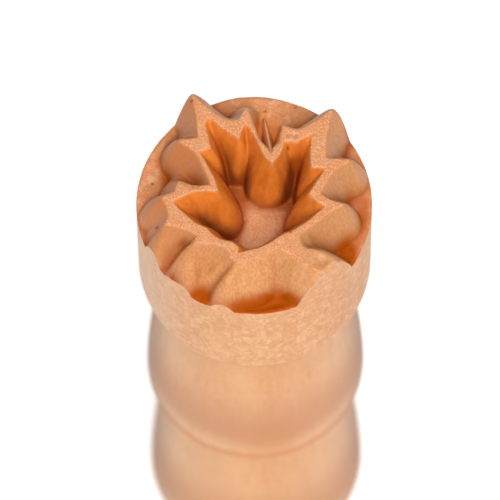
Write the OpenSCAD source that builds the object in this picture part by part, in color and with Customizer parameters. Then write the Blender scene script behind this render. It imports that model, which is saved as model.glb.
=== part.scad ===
// Wooden hand stamp: a turned grip with a leaf cut in deep relief in the end grain of its head.
// The origin is the centre of the flat foot that the stamp stands on, and +Z points up to the carved face.
// Head and handle are separate turnings, held together by a glued dowel pin.

/* [Head] */
// Diameter of the straight head
head_d = 25; // [20:0.5:32]
// Length of the head from the rim down to the first groove
head_len = 17.5; // [17:0.1:22]
// Length over which the head turns in to the first groove
head_corner = 3.2; // [1:0.1:4]

/* [Grip] */
// Length of the upper bead, from one groove to the next
upper_bead_len = 27; // [24:0.2:30]
// Length of the lower bead, from its groove down to the foot
lower_bead_len = 29; // [24:0.2:32]
// Radius of the upper bead at its fullest, near its lower end
upper_bead_r = 12; // [11:0.1:12.4]
// Radius of the lower bead at its fullest, near its lower end
lower_bead_r = 12; // [11:0.1:12.4]
// Radius left at the bottom of a groove
groove_r = 9.75; // [8.5:0.05:10.5]
// Length over which a bead turns in below its fullest
bead_corner = 2.6; // [1:0.1:4]
// How long a bead keeps its fullness on the way up, where 1 is a plain cone
flare_power = 1.5; // [1.1:0.1:2.4]

/* [Carving] */
// Height of the printing line above the rim
relief_h = 5.25; // [3:0.25:6]
// Depth of the pocket inside the leaf below the rim
pocket_depth = 2.9; // [1:0.1:3.4]
// Steepness of a carved wall where it leaves the printing line
wall_rise = 2.25; // [1.9:0.05:4]
// How fast a carved wall grows steeper
wall_curl = 0.11; // [0.05:0.01:0.3]

/* [Dowel joint] */
// Diameter of the dowel pin
dowel_d = 10; // [8:0.5:11]
// Length of the dowel pin
dowel_len = 20; // [14:1:20]
// Chamfer on both ends of the dowel pin
dowel_chamfer = 1; // [0.5:0.1:2]
// Gap all round the dowel pin, which the glue fills
glue_gap = 0.05; // [0.02:0.01:0.2]
// Room for glue past each end of the dowel pin
socket_room = 1; // [0.5:0.1:1]

/* [Foot] */
// Radius of the flat foot
foot_r = 9.9; // [8:0.1:10.5]
// Chamfer round the foot
foot_chamfer = 0.6; // [0.3:0.1:1]

/* [Hidden] */

head_r = head_d / 2;
dowel_r = dowel_d / 2;
lower_groove_z = lower_bead_len;
joint_z = lower_groove_z + upper_bead_len;
rim_z = joint_z + head_len;

// The crown is the carved top of the head, one mesh on the plain turned part
crown_z = rim_z - pocket_depth - 2;
// It is a hair narrower than the head, so that the two side walls never coincide
crown_d = head_d - 0.04;
crown_sides = 96;
// Thickness of the flat printing line before the walls are swept round it
line_t = 0.02;

corner_steps = 10;
flare_steps = 18;
wall_steps = 5;
bell_sides = 24;
// How far out a carved wall reaches before it meets the deepest floor
wall_reach = 2.8;

// Inner edge of the printing line, in head radii: an upright leaf of five lobes, seen from above
leaf_pocket = [
    // top left lobe, down its left side
    [-0.385, 0.625], [-0.415, 0.575], [-0.395, 0.45], [-0.375, 0.34],
    // left tooth and the long side down to the inner corner
    [-0.475, 0.31], [-0.43, 0.235], [-0.385, 0.14], [-0.345, 0.05], [-0.315, -0.055],
    // left lobe, out and back
    [-0.42, -0.05], [-0.52, -0.06], [-0.6, -0.1], [-0.7, -0.15],
    [-0.65, -0.22], [-0.58, -0.29], [-0.5, -0.365], [-0.42, -0.405],
    [-0.35, -0.475], [-0.28, -0.52], [-0.2, -0.54], [-0.145, -0.585],
    // bottom edge between its two small teeth
    [-0.17, -0.655], [-0.1, -0.635], [-0.03, -0.615], [0.06, -0.59],
    [0.15, -0.54], [0.22, -0.49], [0.285, -0.455], [0.335, -0.52], [0.325, -0.44],
    // right lobe, out and back
    [0.4, -0.395], [0.48, -0.335], [0.55, -0.27], [0.615, -0.205],
    [0.54, -0.165], [0.47, -0.095], [0.53, 0], [0.58, 0.08],
    // right tooth and top right lobe
    [0.625, 0.15], [0.49, 0.155], [0.485, 0.3], [0.505, 0.47],
    [0.43, 0.435], [0.36, 0.385], [0.31, 0.4], [0.25, 0.4], [0.225, 0.3],
    // deep notch, middle lobe and back to the start
    [0.155, 0.2], [0.09, 0.28], [0.04, 0.4], [-0.01, 0.5], [-0.07, 0.575],
    [-0.11, 0.5], [-0.125, 0.43], [-0.2, 0.485], [-0.28, 0.545], [-0.34, 0.6]
];

// Outer edge of the printing line, in head radii, in the same order
leaf_edge = [
    // top left point and the left points below it
    [-0.513, 0.824], [-0.475, 0.65], [-0.46, 0.42],
    [-0.62, 0.405], [-0.52, 0.32], [-0.45, 0.21], [-0.4, 0.08], [-0.36, -0.02],
    [-0.48, -0.01], [-0.63, 0.035], [-0.66, -0.07],
    [-0.77, -0.12], [-0.73, -0.2], [-0.715, -0.285],
    // bottom left lobes
    [-0.742, -0.34], [-0.544, -0.527], [-0.52, -0.6], [-0.19, -0.647],
    // bottom lobe, whose right end runs out to the rim
    [-0.256, -0.739], [-0.1, -0.734], [0, -0.702], [0.1, -0.655], [0.2, -0.6],
    [0.28, -0.655], [0.4, -0.725], [0.56, -0.8], [0.72, -0.77],
    [0.64, -0.7], [0.58, -0.655], [0.5, -0.618], [0.42, -0.6], [0.375, -0.55],
    // right lobes
    [0.355, -0.47], [0.45, -0.42], [0.6, -0.33],
    [0.73, -0.19], [0.62, -0.155], [0.545, -0.095], [0.64, 0.04],
    [0.8, 0.205], [0.6, 0.22], [0.605, 0.42],
    // top right point, deep notch, top middle point
    [0.66, 0.67], [0.5, 0.55], [0.36, 0.49], [0.25, 0.53],
    [0.22, 0.42], [0.165, 0.3], [0.1, 0.38], [0, 0.56],
    [-0.06, 0.69], [-0.12, 0.58], [-0.25, 0.6], [-0.36, 0.68]
];

// How far a carved wall has dropped at a distance d from the printing line
function wall_drop(d) = wall_rise * d + wall_curl * pow(d, 3);

// Radius of a turned curve that is full at s = 0 and comes down to end_r at s = 1
function turned_r(full_r, end_r, s, power) = full_r - (full_r - end_r) * pow(s, power);

// Half section of a turned corner, from its lower end at low_r up to where it reaches full_r
function corner_section(full_r, low_r, low_z, length) = [
    for (i = [0:corner_steps])
        let (s = 1 - i / corner_steps)
        [turned_r(full_r, low_r, s, 2), low_z + length * (1 - s)]
];

// Half section of the long flare of a bead, from just above its fullest to the groove over it
function flare_section(full_r, low_z, high_z) = [
    for (i = [1:flare_steps])
        let (s = i / flare_steps)
        [turned_r(full_r, groove_r, s, flare_power), low_z + s * (high_z - low_z)]
];

// Half section of one bead, from its lower end up to the groove above it
function bead_section(full_r, low_r, low_z, high_z) = concat(
    corner_section(full_r, low_r, low_z, bead_corner),
    flare_section(full_r, low_z + bead_corner, high_z)
);

module printing_line_2d() {
    scale(head_r)
        difference() {
            polygon(leaf_edge);
            polygon(leaf_pocket);
        }
}

// The bell-shaped solid that fills the space below one point of the printing line
module wall_bell() {
    depth = wall_drop(wall_reach);
    rotate_extrude($fn = bell_sides)
        polygon(concat([[0, -depth]],
            [for (i = [wall_steps:-1:0])
                let (d = wall_reach * i / wall_steps) [d, -wall_drop(d)]]));
}

// Everything that the carver left standing: the printing line with walls that fall away all round it
module standing_relief() {
    translate([0, 0, rim_z + relief_h - line_t])
        minkowski() {
            linear_extrude(line_t) printing_line_2d();
            wall_bell();
        }
}

// The wood round the leaf, cut down to the level of the rim and open over the pocket
module rim_ground() {
    difference() {
        cylinder(d = head_d, h = rim_z, $fn = crown_sides);
        translate([0, 0, rim_z - pocket_depth])
            linear_extrude(pocket_depth + 1)
                scale(head_r) polygon(leaf_pocket);
    }
}

module carved_crown() {
    resize([crown_d, crown_d, 0])
        intersection() {
            translate([0, 0, crown_z])
                cylinder(d = head_d, h = rim_z + relief_h, $fn = crown_sides);
            union() {
                rim_ground();
                standing_relief();
            }
        }
}

// The plain turned part of the head: straight, then turned in to the first groove
module turned_head() {
    rotate_extrude($fn = crown_sides)
        polygon(concat([[0, joint_z]],
            corner_section(head_r, groove_r, joint_z, head_corner),
            [[head_r, crown_z], [0, crown_z]]));
}

module dowel_socket(z_from, z_to) {
    translate([0, 0, z_from])
        cylinder(r = dowel_r + glue_gap, h = z_to - z_from, $fn = 48);
}

module stamp_head() {
    color("burlywood")
        difference() {
            union() {
                turned_head();
                carved_crown();
            }
            dowel_socket(joint_z - 1, joint_z + dowel_len / 2 + socket_room);
        }
}

module handle() {
    color("wheat")
        difference() {
            rotate_extrude($fn = crown_sides)
                polygon(concat([[0, 0], [foot_r - foot_chamfer, 0]],
                    bead_section(lower_bead_r, foot_r, foot_chamfer, lower_groove_z),
                    [for (p = bead_section(upper_bead_r, groove_r, lower_groove_z, joint_z))
                        if (p[1] > lower_groove_z) p],
                    [[0, joint_z]]));
            dowel_socket(joint_z - dowel_len / 2 - socket_room, joint_z + 1);
        }
}

module joint_dowel() {
    color("tan")
        translate([0, 0, joint_z - dowel_len / 2])
            union() {
                cylinder(r1 = dowel_r - dowel_chamfer, r2 = dowel_r, h = dowel_chamfer, $fn = 48);
                translate([0, 0, dowel_chamfer])
                    cylinder(r = dowel_r, h = dowel_len - 2 * dowel_chamfer, $fn = 48);
                translate([0, 0, dowel_len - dowel_chamfer])
                    cylinder(r1 = dowel_r, r2 = dowel_r - dowel_chamfer, h = dowel_chamfer, $fn = 48);
            }
}

stamp_head();
handle();
joint_dowel();
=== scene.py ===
"""Looks for a turned wooden hand stamp with a leaf carved in deep relief in the end grain of its head.

Sizes are in metres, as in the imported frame. Places, reaches and depths of the carving are in head radii, with
x to the right and y towards the tip of the middle lobe.
"""

import math

import bpy
import numpy as np
from mathutils import Matrix, Vector, noise


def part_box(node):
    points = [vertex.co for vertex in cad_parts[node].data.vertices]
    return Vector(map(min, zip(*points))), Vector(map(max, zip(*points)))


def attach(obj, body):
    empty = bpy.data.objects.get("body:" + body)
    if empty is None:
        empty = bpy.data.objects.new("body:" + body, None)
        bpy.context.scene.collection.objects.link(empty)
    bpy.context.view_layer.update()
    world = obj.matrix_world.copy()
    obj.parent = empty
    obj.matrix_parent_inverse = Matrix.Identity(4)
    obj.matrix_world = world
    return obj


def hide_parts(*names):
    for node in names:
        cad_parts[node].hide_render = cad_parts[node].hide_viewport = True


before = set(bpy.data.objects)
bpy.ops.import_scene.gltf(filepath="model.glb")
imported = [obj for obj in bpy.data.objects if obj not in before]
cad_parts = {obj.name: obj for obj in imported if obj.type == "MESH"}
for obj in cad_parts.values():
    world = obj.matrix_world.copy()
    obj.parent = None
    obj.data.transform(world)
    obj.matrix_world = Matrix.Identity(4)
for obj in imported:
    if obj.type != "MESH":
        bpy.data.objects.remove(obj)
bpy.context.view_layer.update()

MM = 0.001

# ---------------------------------------------------------------- sizes, from the frame
head_low, head_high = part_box("stamp_head")
handle_low, handle_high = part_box("handle")

HEAD_R = (head_high.x - head_low.x) / 2
JOINT_Z = handle_high.z
RELIEF_H = 0.42 * HEAD_R
RIM_Z = head_high.z - RELIEF_H
POCKET_Z = RIM_Z - 0.232 * HEAD_R
GROOVE_R = 0.78 * HEAD_R
BEAD_R = (handle_high.x - handle_low.x) / 2
FOOT_R = 0.792 * HEAD_R
FOOT_CHAMFER = 0.6 * MM
HEAD_CORNER = 3.2 * MM
BEAD_CORNER = 2.6 * MM
FLARE_POWER = 1.5
CORNER_POWER = 2.0
UPPER_BEAD_LEN = 2.16 * HEAD_R
LOWER_GROOVE_Z = JOINT_Z - UPPER_BEAD_LEN
SOCKET_R = 5.05 * MM
SOCKET_DEPTH = 11 * MM
# Middle of a deeper orange patch low on the front of the upper bead
FRONT_ORANGE_SPOT = (0.14 * HEAD_R, -0.9 * HEAD_R, LOWER_GROOVE_Z + 7.5 * MM)

# ---------------------------------------------------------------- the carved leaf, seen from above
# Inner edge of the printing line, in head radii: an upright leaf of five lobes
LEAF_POCKET = [
    # top left lobe, down its left side
    (-0.385, 0.625), (-0.415, 0.575), (-0.395, 0.45), (-0.375, 0.34),
    # left tooth and the long side down to the inner corner
    (-0.475, 0.31), (-0.43, 0.235), (-0.385, 0.14), (-0.345, 0.05), (-0.315, -0.055),
    # left lobe, out and back
    (-0.42, -0.05), (-0.52, -0.06), (-0.6, -0.1), (-0.7, -0.15),
    (-0.65, -0.22), (-0.58, -0.29), (-0.5, -0.365), (-0.42, -0.405),
    (-0.35, -0.475), (-0.28, -0.52), (-0.2, -0.54), (-0.145, -0.585),
    # bottom edge between its two small teeth
    (-0.17, -0.655), (-0.1, -0.635), (-0.03, -0.615), (0.06, -0.59),
    (0.15, -0.54), (0.22, -0.49), (0.285, -0.455), (0.335, -0.52), (0.325, -0.44),
    # right lobe, out and back
    (0.4, -0.395), (0.48, -0.335), (0.55, -0.27), (0.615, -0.205),
    (0.54, -0.165), (0.47, -0.095), (0.53, 0.0), (0.58, 0.08),
    # right tooth and top right lobe
    (0.625, 0.15), (0.49, 0.155), (0.485, 0.3), (0.505, 0.47),
    (0.43, 0.435), (0.36, 0.385), (0.31, 0.4), (0.25, 0.4), (0.225, 0.3),
    # deep notch, middle lobe and back to the start
    (0.155, 0.2), (0.09, 0.28), (0.04, 0.4), (-0.01, 0.5), (-0.07, 0.575),
    (-0.11, 0.5), (-0.125, 0.43), (-0.2, 0.485), (-0.28, 0.545), (-0.34, 0.6),
]

# Outer edge of the printing line, in the same order
LEAF_EDGE = [
    # top left point and the left points below it
    (-0.513, 0.824), (-0.475, 0.65), (-0.46, 0.42),
    (-0.62, 0.405), (-0.508, 0.32), (-0.44, 0.21), (-0.388, 0.085), (-0.345, -0.02),
    (-0.48, -0.01), (-0.63, 0.035), (-0.66, -0.07),
    (-0.77, -0.12), (-0.73, -0.2), (-0.715, -0.285),
    # bottom left lobes
    (-0.75, -0.36), (-0.66, -0.38), (-0.56, -0.415), (-0.46, -0.48),
    (-0.57, -0.55), (-0.45, -0.535), (-0.32, -0.545), (-0.23, -0.585), (-0.19, -0.647),
    # bottom lobe, whose right end runs out to the rim
    (-0.256, -0.739), (-0.1, -0.7), (0.0, -0.665), (0.1, -0.63), (0.2, -0.58),
    (0.28, -0.64), (0.4, -0.725), (0.56, -0.8), (0.72, -0.77),
    (0.64, -0.7), (0.58, -0.655), (0.5, -0.618), (0.42, -0.6), (0.375, -0.55),
    # right lobes
    (0.365, -0.47), (0.45, -0.405), (0.55, -0.33), (0.64, -0.255),
    (0.74, -0.2), (0.62, -0.155), (0.545, -0.095), (0.62, 0.04), (0.67, 0.12),
    (0.8, 0.205), (0.6, 0.22), (0.605, 0.42),
    # top right point, deep notch, top middle point
    (0.66, 0.67), (0.5, 0.55), (0.36, 0.49), (0.25, 0.53),
    (0.2, 0.4), (0.152, 0.255), (0.07, 0.38), (-0.005, 0.55),
    (-0.06, 0.69), (-0.12, 0.58), (-0.25, 0.6), (-0.36, 0.68),
]

# An outline stays sharp where it turns by more than this, and runs as a smooth curve elsewhere
SHARP_TURN = math.radians(48)
CURVE_STEPS = 4

# Places where the knife leaned more or less than elsewhere: plan x, y, reach, and steepness there
OUTER_LEAN = (
    (0.02, -0.85, 0.17, 0.75), (-0.24, -0.87, 0.14, 0.6), (-0.55, -0.76, 0.13, 0.52),
    (-0.82, -0.53, 0.13, 0.6), (-0.62, 0.2, 0.13, 0.66), (-0.88, -0.15, 0.14, 0.75),
    (0.13, 0.46, 0.14, 2.2), (0.05, 0.62, 0.1, 1.8),
)
POCKET_LEAN = ((0.17, 0.12, 0.15, 1.75), (-0.14, 0.36, 0.18, 1.5), (0.37, 0.28, 0.14, 1.5))
# The narrow ridge left standing in the notch beside the middle lobe: two plan points and their heights
NOTCH_RIDGE = ((0.145, 0.31), (0.09, 0.78), 0.41, 0.04)
# Soft valleys that part one lobe from the next: start, end, depth, and half width
VALLEYS = (
    ((-0.5, -0.46), (-0.76, -0.6), 0.14, 0.05), ((-0.17, -0.66), (-0.44, -0.86), 0.17, 0.06),
    ((0.38, -0.53), (0.8, -0.5), 0.05, 0.06), ((-0.4, -0.02), (-0.75, 0.2), 0.06, 0.06),
    ((-0.74, -0.3), (-0.96, -0.38), 0.09, 0.05), ((0.24, -0.6), (0.2, -0.92), 0.07, 0.09),
    ((0.11, 0.36), (0.05, 0.75), 0.16, 0.045), ((0.165, 0.33), (0.19, 0.66), 0.14, 0.035),
)
# Where the gouge went deepest in the ground: torn end grain, with painted shade in the deep orange of a crease
# over it: plan x, y, reach along x and along y, and strength
GOUGES = (
    (0.0, -0.95, 0.28, 0.06, 1.5), (0.2, -0.89, 0.17, 0.055, 1.5),
    (-0.68, -0.72, 0.09, 0.1, 1.1), (-0.46, -0.86, 0.1, 0.08, 1.4),
    (0.78, -0.5, 0.1, 0.19, 1.4), (0.92, -0.1, 0.07, 0.22, 0.7), (-0.68, 0.55, 0.06, 0.06, 0.6),
    (-0.74, 0.22, 0.05, 0.12, 0.6), (0.86, 0.3, 0.05, 0.08, 0.6), (-0.9, -0.42, 0.06, 0.09, 0.8),
)
# Small nicks and dents: plan x, y, reach, and depth
NICKS = (
    (0.57, -0.71, 0.06, 0.03), (0.3, 0.46, 0.022, 0.02), (0.35, 0.445, 0.018, 0.02),
    (0.47, 0.72, 0.03, 0.03), (-0.7, 0.05, 0.05, 0.03), (-0.55, 0.62, 0.04, 0.02),
)
# Dark open pores in the end grain: plan x and y
PORES = ((0.36, 0.9), (0.29, 0.36), (-0.52, 0.78), (-0.86, 0.2), (-0.82, -0.3), (0.83, 0.36), (0.1, 0.86))
PORE_R = 0.011
PORE_DEPTH = 0.02
# The right end of the bottom lobe, which was sanded along with the side: plan x, y, and reach
SANDED_END = (0.6, -0.8, 0.2)
# The walls of the notch beside the middle lobe, painted bright orange as shade lit by bounce light: plan x, y,
# and reach
NOTCH_SPOT = (0.1, 0.54, 0.17)

# ---------------------------------------------------------------- the cut surface
CREST = RELIEF_H / HEAD_R
FLOOR = (POCKET_Z - RIM_Z) / HEAD_R
GROUND = 0.0
# How a wall drops away from the printing line: at once, and with the cube of the distance
WALL_RISE, WALL_CURL = 2.25, 17.0
# How far the knife edge between the printing line and a wall is rounded over
POCKET_WEAR, SIDE_WEAR, FRONT_WEAR = 0.012, 0.018, 0.045
# Unevenness as (size, waves per head radius, seed). The land is the flat top of the printing line
LEAN_NOISE = (0.10, 5.5, 3)
FLUTE_NOISE = (0.006, 34.0, 5)
FLOOR_NOISES = ((0.014, 3.2, 11), (0.007, 11.0, 13), (0.0035, 42.0, 17))
LAND_NOISE = (0.004, 48.0, 19)
# How closely the flutes run straight down the wall, where 1 is quite straight
FLUTE_RUN = 0.75
GOUGE_DEPTH = 0.03
# How far a wall is filled where it meets the floor, and where it meets the ridge
FLOOR_FILLET, RIDGE_FILLET = 0.03, 0.01
RIDGE_SLOPE = 4.0
RIM_EASE = 0.014

# ---------------------------------------------------------------- mesh fineness
FACE_CELLS = 260
GRID_SIDE = FACE_CELLS + 1
# How many cells of the face a knife cut is eased over, and how wide the surroundings of a point are
EASE_CELLS, NEAR_CELLS, WIDE_CELLS = 2, 9, 22
STRAIGHT_RINGS = 6
# The first ring under the rim, as a share of the straight side, stops the cut tones right at the rim
RIM_RING = 0.012
CORNER_RINGS = 16
FLARE_RINGS = 44
TURNED_SIDES = 256


# ================================================================ small numeric tools
def mix(a, b, t):
    return a + (b - a) * t


def smoothstep(low, high, x):
    t = np.clip((x - low) / (high - low), 0, 1)
    return t * t * (3 - 2 * t)


def soft_max(a, b, k):
    """The larger of a and b, with the corner between them filled to a width of about k."""
    h = np.clip(0.5 + 0.5 * (a - b) / k, 0, 1)
    return b + (a - b) * h + k * h * (1 - h)


def noise_at(points, scale, seed):
    """Perlin noise from -1 to 1 at every point, with about scale waves per unit of length."""
    shift = Vector((seed * 17.3, seed * 5.1, seed * 9.7))
    values = [noise.noise(Vector(p) * scale + shift) for p in points]
    return np.array(values)


def unevenness(points, size, waves, seed):
    """Perlin noise of this size at every point."""
    return size * noise_at(points, waves, seed)


# ================================================================ the carved surface
def smooth_outline(points):
    """A finer closed outline through the points: curved where it turns gently, sharp where it turns hard."""
    p = np.array(points, float)
    n = len(p)
    before, after = np.roll(p, 1, 0), np.roll(p, -1, 0)
    way_in, way_out = p - before, after - p
    turn = np.abs(np.arctan2(way_in[:, 0] * way_out[:, 1] - way_in[:, 1] * way_out[:, 0],
                             (way_in * way_out).sum(1)))
    len_in = np.linalg.norm(way_in, axis=1)[:, None]
    len_out = np.linalg.norm(way_out, axis=1)[:, None]
    tangent = way_in / len_in + way_out / len_out
    tangent /= np.linalg.norm(tangent, axis=1)[:, None]
    sharp = turn > SHARP_TURN
    fine = []
    for i in range(n):
        j = (i + 1) % n
        length = len_out[i, 0]
        start = way_out[i] / length if sharp[i] else tangent[i]
        end = way_out[i] / length if sharp[j] else tangent[j]
        for s in range(CURVE_STEPS):
            t = s / CURVE_STEPS
            fine.append((2 * t**3 - 3 * t**2 + 1) * p[i] + (t**3 - 2 * t**2 + t) * length * start
                        + (3 * t**2 - 2 * t**3) * p[j] + (t**3 - t**2) * length * end)
    return np.array(fine)


def nearest_on(outline, points):
    """(distance, nearest point) from every point to a closed outline."""
    best = np.full(len(points), np.inf)
    foot = np.zeros_like(points)
    for a, b in zip(outline, np.roll(outline, -1, 0)):
        way = b - a
        t = np.clip(((points - a) @ way) / (way @ way), 0, 1)
        q = a + t[:, None] * way
        gap = ((points - q) ** 2).sum(1)
        nearer = gap < best
        best[nearer] = gap[nearer]
        foot[nearer] = q[nearer]
    return np.sqrt(best), foot


def is_inside(outline, points):
    """Whether each point lies inside a closed outline."""
    x, y = points[:, 0], points[:, 1]
    odd = np.zeros(len(points), bool)
    for (x1, y1), (x2, y2) in zip(outline, np.roll(outline, -1, 0)):
        if y1 != y2:
            crosses = ((y1 > y) != (y2 > y)) & (x < (x2 - x1) * (y - y1) / (y2 - y1) + x1)
            odd ^= crosses
    return odd


def wall_drop(d):
    """How far a carved wall has dropped at distance d from the printing line."""
    return WALL_RISE * d + WALL_CURL * d**3


def bump_at(points, x, y, reach):
    """1 at (x, y), falling smoothly to nothing past its reach."""
    gap = ((points - (x, y)) ** 2).sum(1)
    return np.exp(-gap / reach**2)


def along_line(points, start, end):
    """(share of the way, distance off the line) for every point."""
    way = np.subtract(end, start)
    share = np.clip((points - start) @ way / (way @ way), 0, 1)
    return share, np.linalg.norm(points - start - share[:, None] * way, axis=1)


def blurred(grid, cells):
    """The grid smoothed over about this many cells each way."""
    kernel = np.exp(-0.5 * (np.arange(-3 * cells, 3 * cells + 1) / cells) ** 2)
    kernel /= kernel.sum()
    for _ in range(2):
        padded = np.pad(grid, ((3 * cells, 3 * cells), (0, 0)), "edge")
        grid = np.apply_along_axis(lambda line: np.convolve(line, kernel, "valid"), 0, padded).T
    return grid


def with_height(points):
    """The plan points as points in space, for noise."""
    return np.column_stack([points, np.zeros(len(points))])


def carved_walls(points, d, foot, in_pocket):
    """Height of the walls, each stretch of which leans a little differently, with fine flutes down it."""
    at = with_height(foot * FLUTE_RUN + points * (1 - FLUTE_RUN))
    lean = 1 + unevenness(at, *LEAN_NOISE)
    for spots, side in ((OUTER_LEAN, ~in_pocket), (POCKET_LEAN, in_pocket)):
        for x, y, reach, steepness in spots:
            lean *= 1 + (steepness - 1) * bump_at(points, x, y, reach) * side
    flute = unevenness(at, *FLUTE_NOISE)
    outer_wear = mix(SIDE_WEAR, FRONT_WEAR, smoothstep(-0.3, -0.6, points[:, 1]))
    wear = np.where(in_pocket, POCKET_WEAR, outer_wear)
    worn = np.sqrt(d**2 + wear**2) - wear
    wall = CREST - wall_drop(worn * lean + flute * smoothstep(0.0, 0.08, d))
    for start, end, depth, half_width in VALLEYS:
        share, gap = along_line(points, start, end)
        wall = wall - depth * smoothstep(0.0, 0.35, share) * np.exp(-(gap / half_width) ** 2) * ~in_pocket
    eased = blurred(wall.reshape(GRID_SIDE, GRID_SIDE), EASE_CELLS).ravel()
    return np.where(d > 0.01, eased, wall)


def gouge_marks(points):
    """How deep the gouge went in the ground, where 1 is a full mark."""
    marks = np.zeros(len(points))
    for x, y, reach_x, reach_y, strength in GOUGES:
        off_x, off_y = (points[:, 0] - x) / reach_x, (points[:, 1] - y) / reach_y
        marks += strength * np.exp(-off_x**2 - off_y**2)
    return marks


def carve(points):
    """Height above the rim plane and masks of the carved face, at plan points."""
    pocket, edge = smooth_outline(LEAF_POCKET), smooth_outline(LEAF_EDGE)
    in_pocket, in_edge = is_inside(pocket, points), is_inside(edge, points)
    d_pocket, foot_pocket = nearest_on(pocket, points)
    d_edge, foot_edge = nearest_on(edge, points)
    d = np.where(in_pocket, d_pocket, np.where(in_edge, 0.0, d_edge))
    foot = np.where(in_pocket[:, None], foot_pocket, foot_edge)
    wall = carved_walls(points, d, foot, in_pocket)

    ridge_start, ridge_end, start_h, end_h = NOTCH_RIDGE
    along, off = along_line(points, ridge_start, ridge_end)
    ridge = mix(start_h, end_h, along) - RIDGE_SLOPE * off
    wall = np.where(in_pocket | in_edge, wall, soft_max(wall, ridge, RIDGE_FILLET))

    # the floors are pared end grain, a little uneven
    flat = with_height(points)
    floor = np.where(in_pocket, FLOOR, GROUND) + sum(unevenness(flat, *each) for each in FLOOR_NOISES)
    gouge = gouge_marks(points)
    floor = floor - GOUGE_DEPTH * gouge

    height = soft_max(wall, floor, FLOOR_FILLET)
    land = smoothstep(0.02, 0.0, d)
    height -= land * (LAND_NOISE[0] + unevenness(flat, *LAND_NOISE))
    for x, y, reach, depth in NICKS:
        height -= depth * bump_at(points, x, y, reach)
    pore = sum(bump_at(points, x, y, PORE_R) for x, y in PORES)
    height -= PORE_DEPTH * pore
    # the rim is eased by a touch of sandpaper
    height -= RIM_EASE * smoothstep(0.965, 1.0, np.linalg.norm(points, axis=1)) ** 2

    # how far each point lies below its near and its wide surroundings
    grid = height.reshape(GRID_SIDE, GRID_SIDE)
    crease, hollow = ((blurred(grid, cells) - grid).ravel() for cells in (NEAR_CELLS, WIDE_CELLS))
    on_ridge = smoothstep(0.0, 0.08, along) * smoothstep(1.0, 0.8, along)
    return height, {
        "land": land,
        "pocket": in_pocket.astype(float),
        "wall": np.clip((height - floor) / 0.1, 0, 1) * (1 - land),
        "crease": crease,
        "hollow": hollow,
        "pore": np.clip(pore, 0, 1),
        "gouge": np.clip(gouge, 0, 1) * smoothstep(0.22, 0.02, height) * ~in_pocket,
        "notch": np.clip(2.0 * bump_at(points, *NOTCH_SPOT), 0, 1) * ~in_pocket * (1 - land),
        "ridge": smoothstep(0.032, 0.012, off) * smoothstep(0.0, 0.08, height) * on_ridge,
    }


# ================================================================ turned profiles
def turned(full_r, end_r, s, power):
    """Radius of a turned curve that is full at s = 0 and comes down to end_r at s = 1."""
    return full_r - (full_r - end_r) * s**power


def head_profile(z):
    """Radius of the side of the head at each height."""
    s = np.clip((JOINT_Z + HEAD_CORNER - z) / HEAD_CORNER, 0, 1)
    return turned(HEAD_R, GROOVE_R, s, CORNER_POWER)


def bead_rows(low_z, high_z, low_r):
    """(radius, height) down one bead: its long flare, then the corner below its fullest."""
    full_z = low_z + BEAD_CORNER
    flare = [(turned(BEAD_R, GROOVE_R, s, FLARE_POWER), mix(full_z, high_z, s))
             for s in np.linspace(1, 0, FLARE_RINGS)]
    corner = [(turned(BEAD_R, low_r, s, CORNER_POWER), mix(full_z, low_z, s))
              for s in np.linspace(0, 1, CORNER_RINGS)[1:]]
    return flare + corner


def handle_profile():
    """(radius, height) down the handle, from the rim of the joint to the rim of the foot."""
    upper = bead_rows(LOWER_GROOVE_Z, JOINT_Z, GROOVE_R)
    lower = bead_rows(FOOT_CHAMFER, LOWER_GROOVE_Z, FOOT_R)
    return upper + lower[1:] + [(FOOT_R - FOOT_CHAMFER, 0.0)]


# ================================================================ meshes
def new_mesh(name, verts, faces):
    mesh = bpy.data.meshes.new(name)
    mesh.from_pydata([tuple(v) for v in verts], [], faces)
    mesh.validate()
    mesh.update()
    obj = bpy.data.objects.new(name, mesh)
    bpy.context.scene.collection.objects.link(obj)
    for poly in mesh.polygons:
        poly.use_smooth = True
    return obj


def point_attribute(obj, name, values):
    layer = obj.data.attributes.new(name, "FLOAT", "POINT")
    layer.data.foreach_set("value", np.asarray(values, np.float32))


def square_to_disc(u, v):
    """Maps the square from -1 to 1 onto the unit disc with nearly even cells."""
    wide = np.abs(u) > np.abs(v)
    safe_u, safe_v = np.where(u == 0, 1e-9, u), np.where(v == 0, 1e-9, v)
    r = np.where(wide, u, v)
    angle = np.where(wide, math.pi / 4 * v / safe_u, math.pi / 2 - math.pi / 4 * u / safe_v)
    return r * np.cos(angle), r * np.sin(angle)


def strip_between(upper, lower):
    """Faces that join one ring of points to the next."""
    return list(zip(np.roll(upper, -1), upper, lower, np.roll(lower, -1)))


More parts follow.
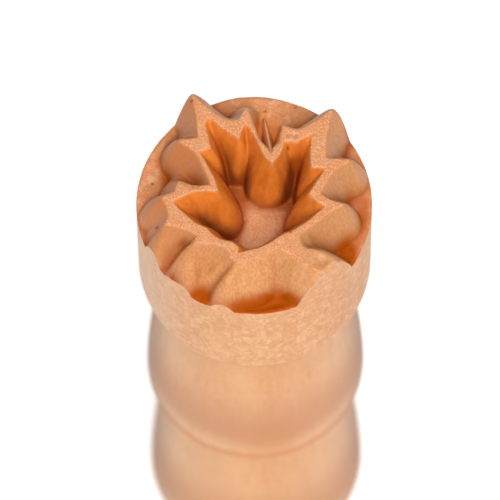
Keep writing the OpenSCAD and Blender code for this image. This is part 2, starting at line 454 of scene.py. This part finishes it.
def build_head():
    """One closed skin: the carved face, the straight side, the shoulder, and the socket for the dowel."""
    steps = np.linspace(-1, 1, GRID_SIDE)
    u, v = np.meshgrid(steps, steps, indexing="ij")
    plan = np.column_stack(square_to_disc(u.ravel(), v.ravel()))
    height, masks = carve(plan)
    face_points = len(plan)
    verts = [np.column_stack([plan * HEAD_R, RIM_Z + height * HEAD_R])]
    index = np.arange(face_points).reshape(GRID_SIDE, GRID_SIDE)
    faces = [(index[i, j], index[i + 1, j], index[i + 1, j + 1], index[i, j + 1])
             for i in range(FACE_CELLS) for j in range(FACE_CELLS)]

    # the boundary of the grid is the rim, taken anticlockwise
    rim = np.concatenate([index[:-1, 0], index[-1, :-1], index[:0:-1, -1], index[0, :0:-1]])
    rim_xy, rim_z = plan[rim], verts[0][rim, 2]
    low_straight = JOINT_Z + HEAD_CORNER
    levels = [mix(rim_z, low_straight, t) for t in (RIM_RING, *np.linspace(0, 1, STRAIGHT_RINGS + 1)[1:])]
    levels += [mix(low_straight, JOINT_Z, t) for t in np.linspace(0, 1, CORNER_RINGS)[1:]]
    rings = [(head_profile(z), z) for z in levels]
    rings += [(SOCKET_R, JOINT_Z), (SOCKET_R, JOINT_Z + SOCKET_DEPTH)]
    ring, total = rim, face_points
    for radius, z in rings:
        radii, heights = np.full(len(rim), radius), np.full(len(rim), z)
        verts.append(np.column_stack([rim_xy * radii[:, None], heights]))
        upper, ring = ring, np.arange(total, total + len(rim))
        faces += strip_between(upper, ring)
        total += len(rim)
    verts.append(np.array([[0, 0, JOINT_Z + SOCKET_DEPTH]]))
    faces += [(after, here, total) for here, after in zip(ring, np.roll(ring, -1))]

    head = new_mesh("carved_head", np.vstack(verts), faces)
    sanded = bump_at(plan, *SANDED_END) * smoothstep(0.03, 0.2, height)
    masks["face"] = 1 - 0.9 * sanded
    for name, values in masks.items():
        point_attribute(head, name, np.pad(values, (0, total + 1 - face_points)))
    return head


def lathe(name, rows, sides):
    """A turned solid from (radius, height) rows, closed by a flat disc at its first and last row."""
    angle = np.arange(sides) * 2 * math.pi / sides
    ring_xy = np.column_stack([np.cos(angle), np.sin(angle)])
    verts = [np.column_stack([ring_xy * r, np.full(sides, z)]) for r, z in rows]
    rings = np.arange(len(rows) * sides).reshape(len(rows), sides)
    faces = []
    for upper, lower in zip(rings, rings[1:]):
        faces += strip_between(upper, lower)
    faces += [tuple(rings[0]), tuple(rings[-1][::-1])]
    return new_mesh(name, np.vstack(verts), faces)


def build_handle():
    rows = [(SOCKET_R, JOINT_Z - SOCKET_DEPTH), (SOCKET_R, JOINT_Z)] + handle_profile()
    return lathe("turned_handle", rows, TURNED_SIDES)


# ================================================================ node helper
class Nodes:
    """A short way to write the node tree of a material or world: every call adds one node and returns one of
    its output sockets."""

    def __init__(self, owner):
        owner.use_nodes = True
        self.tree = owner.node_tree
        self.tree.nodes.clear()

    def add(self, kind, inputs=None, out=0, **settings):
        node = self.tree.nodes.new(kind)
        for key, value in settings.items():
            setattr(node, key, value)
        for key, value in (inputs or {}).items():
            if isinstance(value, bpy.types.NodeSocket):
                self.tree.links.new(value, node.inputs[key])
            else:
                node.inputs[key].default_value = value
        return node.outputs[out] if node.outputs else None

    def math(self, operation, a, b):
        return self.add("ShaderNodeMath", {0: a, 1: b}, operation=operation)

    def mix(self, factor, a, b):
        return self.add("ShaderNodeMix", {0: factor, 6: a, 7: b}, 2, data_type="RGBA")

    def ramp(self, value, low, high, to_low=0.0, to_high=1.0):
        return self.add("ShaderNodeMapRange", {0: value, 1: low, 2: high, 3: to_low, 4: to_high},
                        interpolation_type="SMOOTHSTEP")

    def noise(self, vector, scale, detail, rough=0.5, distortion=0.0):
        return self.add("ShaderNodeTexNoise", {"Vector": vector, "Scale": scale, "Detail": detail,
                                               "Roughness": rough, "Distortion": distortion})

    def attribute(self, name):
        return self.add("ShaderNodeAttribute", out=2, attribute_name=name)


def rgb(red, green, blue):
    return (red, green, blue, 1.0)


# ================================================================ materials
# Wood tones, as linear red, green and blue
PALE, WARM, RING = rgb(0.6, 0.298, 0.118), rgb(0.55, 0.24, 0.085), rgb(0.53, 0.205, 0.055)
PINK, CREAM, DEEP = rgb(0.58, 0.28, 0.16), rgb(0.72, 0.43, 0.24), rgb(0.44, 0.17, 0.06)
# The second tone is a painted reflection of the white surroundings on the wood
FRONT_ORANGE, PAINTED_REFLECTION = rgb(0.52, 0.17, 0.03), rgb(0.64, 0.41, 0.255)
# Painted shade on the beads: under the swell, in the grooves, and seen edge on
SWELL, GROOVE, EDGE = rgb(0.46, 0.19, 0.08), rgb(0.55, 0.18, 0.03), rgb(0.25, 0.12, 0.07)
LAND_DARK, LAND_PALE = rgb(0.54, 0.205, 0.07), rgb(0.92, 0.54, 0.33)
OUTER_DARK, OUTER_PALE = rgb(0.5, 0.205, 0.068), rgb(0.63, 0.3, 0.115)
# Painted shade on the walls round the leaf: away from the front, on the back left with warm bounce light, and
# deepest in the shade
OUTER_BACK_SHADE, OUTER_LEFT_SHADE, OUTER_LOW = rgb(0.44, 0.175, 0.055), rgb(0.47, 0.13, 0.03), rgb(0.36, 0.12, 0.03)
# Pocket walls: the wood's orange, deepened as painted bounce light
INNER_DARK, INNER_PALE = rgb(0.58, 0.15, 0.015), rgb(0.72, 0.22, 0.03)
# The last ground tone is painted shade for its hollows
GROUND_DARK, GROUND_PALE, GROUND_HOLLOW_SHADE = rgb(0.52, 0.19, 0.065), rgb(0.66, 0.29, 0.13), rgb(0.46, 0.14, 0.03)
FLOOR_DARK, FLOOR_PALE, FLOOR_LOW = rgb(0.74, 0.31, 0.13), rgb(0.94, 0.54, 0.29), rgb(0.4, 0.13, 0.04)
CREASE, DARKEST = rgb(0.35, 0.062, 0.0), rgb(0.12, 0.015, 0.002)
WHITE, NEAR_WHITE = rgb(1, 1, 1), rgb(0.95, 0.95, 0.95)

# How much slower each figure changes along the fibres than across them
LONG_FIBRE, SHORT_FIBRE, CURL_FIBRE = (1.0, 1.0, 0.08), (1.0, 1.0, 0.35), (1.0, 1.0, 0.8)
# The axis of the growth rings: where it lies, how it leans, and how little the rings change along it
RING_AXIS = {"Location": (0.03, 0.05, 0.0), "Rotation": (0.09, -0.06, 0.0), "Scale": (1.0, 1.0, 0.02)}
FIBRE_RELIEF = 0.05 * MM
# How deep light goes into the wood, and how far red, green and blue go as shares of that
LIGHT_DEPTH = 1.0 * MM
LIGHT_SHARES = (1.0, 0.42, 0.18)
# How near other wood has to be to keep a point in the shade
SHADE_REACH = 4.5 * MM
# Radius of the orange patch on the upper bead, and of its core where it is darkest
FRONT_ORANGE_REACH, FRONT_ORANGE_CORE = 5.5 * MM, 1.0 * MM
# Glow of the white sweep. The camera sees extra glow that rises with the distance from the foot, so that the
# sweep melts into the white surroundings
SWEEP_GLOW = 0.12
SWEEP_NEAR, SWEEP_FAR = 0.1, 1.2
SEEN_GLOW_NEAR, SEEN_GLOW_FAR = 0.18, 0.9


def maple(name, carved):
    """Pale, fine-grained hardwood, with light and shade painted into it in places. If carved is true, the cut
    face has darker, sheared end grain.
    """
    material = bpy.data.materials.new(name)
    n = Nodes(material)
    place = n.add("ShaderNodeTexCoord", out=3)
    # the fibres run along the turning axis, so the patterns are stretched along Z
    long_fibre = n.add("ShaderNodeMapping", {"Vector": place, "Scale": LONG_FIBRE})
    short_fibre = n.add("ShaderNodeMapping", {"Vector": place, "Scale": SHORT_FIBRE})
    curl_fibre = n.add("ShaderNodeMapping", {"Vector": place, "Scale": CURL_FIBRE})
    broad = n.noise(long_fibre, 130, 3)
    streak = n.noise(long_fibre, 4300, 3, 0.65)
    grain = n.noise(long_fibre, 1300, 4, 0.7)
    fleck = n.noise(short_fibre, 6500, 4, 0.75)
    mottle = n.noise(short_fibre, 900, 4, 0.65)
    curl = n.noise(curl_fibre, 1150, 4, 0.6, 1.2)
    # growth rings: wide soft bands about a tilted axis off to one side
    ring_place = n.add("ShaderNodeMapping", {"Vector": place, **RING_AXIS})
    rings = n.add("ShaderNodeTexWave", {
        "Vector": ring_place, "Scale": 90.0, "Distortion": 2.5, "Detail": 2.0, "Detail Scale": 1.5},
        out=1, wave_type="RINGS", rings_direction="Z")
    color = n.mix(n.ramp(broad, 0.35, 0.65), PALE, WARM)
    color = n.mix(n.math("MULTIPLY", rings, 0.35), color, RING)
    color = n.mix(n.ramp(mottle, 0.48, 0.7, 0.0, 0.45), color, PINK)
    z = n.add("ShaderNodeSeparateXYZ", {0: place}, out=2)
    on_bead = n.ramp(z, JOINT_Z + HEAD_CORNER, JOINT_Z)
    facing = n.add("ShaderNodeLayerWeight", {"Blend": 0.5}, out=1)
    color = painted_reflection(n, color, place, on_bead, facing)
    # the figure is crisp on the head and mostly polished away on the grip
    crisp = n.ramp(z, JOINT_Z - HEAD_CORNER, JOINT_Z + HEAD_CORNER, 0.3, 1.0)
    color = n.mix(n.math("MULTIPLY", n.ramp(curl, 0.42, 0.7, 0.0, 0.6), crisp), color, CREAM)
    color = n.mix(n.math("MULTIPLY", n.ramp(curl, 0.48, 0.25, 0.0, 0.4), crisp), color, DEEP)
    color = n.mix(n.math("MULTIPLY", n.ramp(fleck, 0.52, 0.72, 0.0, 0.35), crisp), color, CREAM)
    color = n.mix(n.ramp(grain, 0.5, 0.72, 0.0, 0.3), color, DEEP)
    color = n.mix(n.ramp(streak, 0.55, 0.8, 0.0, 0.2), color, DEEP)
    color = bead_patch_and_painted_shade(n, color, place, z, on_bead, facing)
    if carved:
        color = carved_color(n, color, fleck, streak, mottle)
    bump_height = n.math("ADD", n.math("MULTIPLY", streak, 0.5), n.math("MULTIPLY", fleck, 0.5))
    bump = n.add("ShaderNodeBump", {"Height": bump_height, "Strength": 0.4, "Distance": FIBRE_RELIEF})
    rough = n.ramp(fleck, 0.3, 0.8, 0.46, 0.62)
    # the deep gouge marks are dull
    gloss = n.ramp(n.attribute("gouge"), 0.0, 1.0, 0.4, 0.05) if carved else 0.4
    shader = n.add("ShaderNodeBsdfPrincipled", {
        "Base Color": color, "Roughness": rough, "Normal": bump, "IOR": 1.45,
        "Subsurface Weight": 0.2, "Subsurface Radius": LIGHT_SHARES, "Subsurface Scale": LIGHT_DEPTH,
        "Specular IOR Level": gloss})
    n.add("ShaderNodeOutputMaterial", {"Surface": shader})
    return material


def painted_reflection(n, color, place, on_bead, facing):
    """Painted reflection of the white surroundings: the wood is paler on the left of the head, and on the
    flanks of the beads as they turn away from the viewer.
    """
    across = n.add("ShaderNodeSeparateXYZ", {0: place})
    pale_side = n.math("MULTIPLY", n.ramp(across, -0.45 * HEAD_R, -1.05 * HEAD_R, 0.0, 0.9),
                       n.math("SUBTRACT", 1.0, on_bead))
    pale_flank = n.math("MULTIPLY", n.ramp(facing, 0.4, 0.75, 0.0, 0.6), on_bead)
    return n.mix(n.math("ADD", pale_side, pale_flank), color, PAINTED_REFLECTION)


def bead_patch_and_painted_shade(n, color, place, z, on_bead, facing):
    """A deeper orange patch low on the front of the upper bead, then painted shade: under the lower swell of
    each bead, in its grooves, and where the beads are seen edge on.
    """
    lower = n.math("LESS_THAN", z, LOWER_GROOVE_Z)
    upper_down = n.math("DIVIDE", n.math("SUBTRACT", JOINT_Z, z), UPPER_BEAD_LEN)
    lower_down = n.math("DIVIDE", n.math("SUBTRACT", LOWER_GROOVE_Z, z), LOWER_GROOVE_Z)
    down = n.math("ADD", n.math("MULTIPLY", lower, lower_down),
                  n.math("MULTIPLY", n.math("SUBTRACT", 1.0, lower), upper_down))
    swell = n.math("MULTIPLY", n.ramp(down, 0.3, 0.66), n.ramp(down, 0.84, 0.7, 0.1, 1.0))
    swell = n.math("MULTIPLY", swell, on_bead)
    gap = n.add("ShaderNodeVectorMath", {0: place, 1: FRONT_ORANGE_SPOT}, 1, operation="DISTANCE")
    color = n.mix(n.ramp(gap, FRONT_ORANGE_REACH, FRONT_ORANGE_CORE, 0.0, 0.6), color, FRONT_ORANGE)
    # painted shade on the lower swell of each bead, where it turns down away from the light
    color = n.mix(n.math("MULTIPLY", swell, 0.75), color, SWELL)
    # painted shade in the grooves
    groove = n.math("MAXIMUM", n.ramp(down, 0.845, 0.89), n.ramp(down, 0.1, 0.04))
    color = n.mix(n.math("MULTIPLY", n.math("MULTIPLY", groove, on_bead), 0.75), color, GROOVE)
    # painted shade where the surface is seen edge on
    edge_on = n.ramp(facing, 0.66, 0.92, 0.0, 0.65)
    return n.mix(n.math("MULTIPLY", edge_on, n.ramp(on_bead, 0.0, 1.0, 0.1, 1.0)), color, EDGE)


def ground_color(n, grain, mottle):
    """Pared end grain round the leaf, mottled, with painted shade where it lies deeper than its surroundings.
    """
    ground = n.mix(grain, GROUND_DARK, GROUND_PALE)
    ground = n.mix(n.ramp(mottle, 0.5, 0.68, 0.0, 0.6), ground, CREAM)
    ground = n.mix(n.ramp(mottle, 0.48, 0.34, 0.0, 0.5), ground, RING)
    # painted shade in the hollows of the ground
    return n.mix(n.ramp(n.attribute("hollow"), 0.04, 0.14, 0.0, 0.45), ground, GROUND_HOLLOW_SHADE)


def pocket_floor_color(n, grain, shade, towards_tip):
    """Pared end grain inside the leaf, dark in the shade at its far end."""
    floor = n.mix(grain, FLOOR_DARK, FLOOR_PALE)
    far_end = n.ramp(towards_tip, -0.5 * HEAD_R, 0.1 * HEAD_R)
    return n.mix(n.math("MULTIPLY", n.ramp(shade, 0.85, 0.3, 0.3, 1.0), far_end), floor, FLOOR_LOW)


def outer_wall_color(n, streak, mottle, shade, across, towards_tip):
    """The walls round the leaf, with painted shade: palest at the front, which faces the key light, duller away
    from it, warm and darker on the shaded back left as shade with warm bounce light, and dark in the shade.
    """
    outer = n.mix(n.ramp(streak, 0.35, 0.68), OUTER_DARK, OUTER_PALE)
    outer = n.mix(n.ramp(mottle, 0.5, 0.75, 0.0, 0.4), outer, PINK)
    # painted shade on the walls that face away from the key light
    outer = n.mix(n.ramp(towards_tip, -0.76 * HEAD_R, -0.5 * HEAD_R, 0.0, 0.5), outer, OUTER_BACK_SHADE)
    # painted shade on the back left, warmed as bounce light
    back_left = n.math("MULTIPLY", n.ramp(across, 0.0, -0.6 * HEAD_R, 0.0, 0.65),
                       n.ramp(towards_tip, -0.6 * HEAD_R, -0.1 * HEAD_R, 0.35, 1.0))
    outer = n.mix(back_left, outer, OUTER_LEFT_SHADE)
    return n.mix(n.ramp(shade, 0.85, 0.4, 0.0, 0.75), outer, OUTER_LOW)


def carved_color(n, color, fleck, streak, mottle):
    """Colours the cut face by what the knife did there: printing line, walls, pocket and ground, with painted
    shade, bounce light and a highlight on the notch ridge.
    """
    pocket, wall = n.attribute("pocket"), n.attribute("wall")
    shade = n.add("ShaderNodeAmbientOcclusion", {"Distance": SHADE_REACH}, out=1, samples=12)
    place = n.add("ShaderNodeTexCoord", out=3)
    across = n.add("ShaderNodeSeparateXYZ", {0: place})
    towards_tip = n.add("ShaderNodeSeparateXYZ", {0: place}, out=1)
    grain = n.ramp(fleck, 0.35, 0.68)
    low = n.mix(pocket, ground_color(n, grain, mottle), pocket_floor_color(n, grain, shade, towards_tip))
    # the pocket walls: the wood's orange, deepened as painted bounce light between them
    inner = n.mix(n.ramp(mottle, 0.3, 0.7), INNER_DARK, INNER_PALE)
    walls = n.mix(pocket, outer_wall_color(n, streak, mottle, shade, across, towards_tip), inner)
    carved = n.mix(wall, low, walls)
    # light that is trapped in a crease comes out deep orange
    carved = n.mix(n.ramp(n.attribute("crease"), 0.015, 0.1, 0.0, 0.9), carved, CREASE)
    # painted shade with bounce light on the walls of the notch
    carved = n.mix(n.math("MULTIPLY", n.attribute("notch"), 0.9), carved, INNER_PALE)
    # the deepest gouge marks: torn end grain, with painted shade in the crease's deep orange
    carved = n.mix(n.math("MULTIPLY", n.attribute("gouge"), 0.97), carved, CREASE)
    # the walls of the pocket are nearly black where they are deepest in the shade
    trapped = n.math("MULTIPLY", n.ramp(shade, 0.6, 0.08), n.ramp(wall, 0.0, 0.5))
    carved = n.mix(n.math("MULTIPLY", n.math("MULTIPLY", trapped, pocket), 0.85), carved, DARKEST)
    line = n.mix(n.ramp(fleck, 0.47, 0.67), LAND_DARK, LAND_PALE)
    carved = n.mix(n.math("MULTIPLY", n.attribute("land"), 0.65), carved, line)
    # painted highlight along the top of the narrow ridge in the notch
    carved = n.mix(n.math("MULTIPLY", n.attribute("ridge"), 0.8), carved, LAND_PALE)
    carved = n.mix(n.math("MULTIPLY", n.attribute("pore"), 0.8), carved, DARKEST)
    return n.mix(n.attribute("face"), color, carved)


def stage_material():
    material = bpy.data.materials.new("white_sweep")
    n = Nodes(material)
    from_foot = n.add("ShaderNodeVectorMath", {0: n.add("ShaderNodeTexCoord", out=3)}, 1, operation="LENGTH")
    seen = n.math("MULTIPLY", n.add("ShaderNodeLightPath"),
                  n.ramp(from_foot, SWEEP_NEAR, SWEEP_FAR, SEEN_GLOW_NEAR, SEEN_GLOW_FAR))
    glow = n.math("ADD", seen, SWEEP_GLOW)
    shader = n.add("ShaderNodeBsdfPrincipled", {"Base Color": NEAR_WHITE, "Roughness": 0.8,
                                               "Emission Color": WHITE, "Emission Strength": glow})
    n.add("ShaderNodeOutputMaterial", {"Surface": shader})
    return material


# ================================================================ pieces
def build_object():
    head = build_head()
    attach(head, "root")
    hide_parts("stamp_head")
    head.data.materials.append(maple("carved_maple", True))

    handle = build_handle()
    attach(handle, "root")
    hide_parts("handle")
    handle.data.materials.append(maple("turned_maple", False))

    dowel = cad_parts["joint_dowel"]
    dowel.data.materials.clear()
    dowel.data.materials.append(maple("dowel_maple", False))


# ================================================================ stage, light and camera
CAMERA_ELEVATION = math.radians(66)
CAMERA_DISTANCE = 64 * HEAD_R
CAMERA_ROLL = math.radians(-0.58)
# The rim's radius, and how far its centre sits right of and above the picture's, as shares of the width
RIM_IN_VIEW = 0.236
RIM_RIGHT = 0.0084
RIM_ABOVE = 0.093
SENSOR = 36.0
CLIP_END = 10
# Lens stops at the main viewpoint, and from anywhere else
CLOSE_STOP, SHARP_STOP = 42, 900
FLOOR_SIZE = 6
LIT_SPOT = (0, 0, 0.07)
# Soft boxes: name, place, size, power in watts, and colour
LIGHTS = (
    ("key", (0.18, -1.1, 1.86), 1.2, 50, (1, 0.985, 0.96)),
    ("top", (0.0, 0.5, 2.0), 1.2, 6, (1, 1, 1)),
)
WORLD_LIGHT = 0.34


def add_camera():
    # focal is the focal length in picture widths, so a share of the width becomes a slope over focal
    focal = RIM_IN_VIEW * CAMERA_DISTANCE / HEAD_R
    right_of, above = RIM_RIGHT / focal, RIM_ABOVE / focal
    pitch = CAMERA_ELEVATION + math.atan(above)
    forward = Vector((0, math.cos(pitch), -math.sin(pitch)))
    right, up = Vector((1, 0, 0)), Vector((0, math.sin(pitch), math.cos(pitch)))
    right, up = (right * math.cos(CAMERA_ROLL) + up * math.sin(CAMERA_ROLL),
                 up * math.cos(CAMERA_ROLL) - right * math.sin(CAMERA_ROLL))
    to_rim = forward + right * right_of + up * above
    place = Vector((0, 0, RIM_Z)) - to_rim * CAMERA_DISTANCE
    data = bpy.data.cameras.new("camera")
    data.sensor_width = SENSOR
    data.lens = focal * SENSOR
    data.clip_end = CLIP_END
    camera = bpy.data.objects.new("camera", data)
    camera.matrix_world = Matrix.Translation(place) @ Matrix((right, up, -forward)).transposed().to_4x4()
    bpy.context.scene.collection.objects.link(camera)
    bpy.context.scene.camera = camera
    soften_far_end(camera, place.z)


def soften_far_end(camera, height):
    """Close-up blur towards the foot, at the main viewpoint only. Elsewhere the lens is stopped down."""
    dof = camera.data.dof
    dof.use_dof = True
    dof.focus_distance = CAMERA_DISTANCE - RELIEF_H / 2
    stop = dof.driver_add("aperture_fstop").driver
    where = stop.variables.new()
    where.name = "z"
    where.type = "TRANSFORMS"
    where.targets[0].id = camera
    where.targets[0].transform_type = "LOC_Z"
    stop.expression = f"{CLOSE_STOP} if abs(z - {height:.5f}) < 0.001 else {SHARP_STOP}"


def add_light(name, place, size, power, color):
    data = bpy.data.lights.new(name, "AREA")
    data.size, data.energy, data.color = size, power, color
    light = bpy.data.objects.new(name, data)
    light.location = place
    light.rotation_euler = (Vector(LIT_SPOT) - Vector(place)).to_track_quat("-Z", "Y").to_euler()
    bpy.context.scene.collection.objects.link(light)


def add_world():
    """Surroundings that light the part softly and look white to the camera."""
    world = bpy.data.worlds.new("studio")
    n = Nodes(world)
    seen = n.ramp(n.add("ShaderNodeLightPath"), 0.0, 1.0, WORLD_LIGHT, 1.0)
    background = n.add("ShaderNodeBackground", {"Color": WHITE, "Strength": seen})
    n.add("ShaderNodeOutputWorld", {"Surface": background})
    bpy.context.scene.world = world


def add_stage():
    bpy.ops.mesh.primitive_plane_add(size=FLOOR_SIZE, location=(0, 0, 0))
    floor = bpy.context.object
    floor.name = "floor"
    floor.data.materials.append(stage_material())
    add_world()
    for light in LIGHTS:
        add_light(*light)
    view = bpy.context.scene.view_settings
    view.view_transform = "Standard"
    view.look = "None"


build_object()
add_stage()
add_camera()
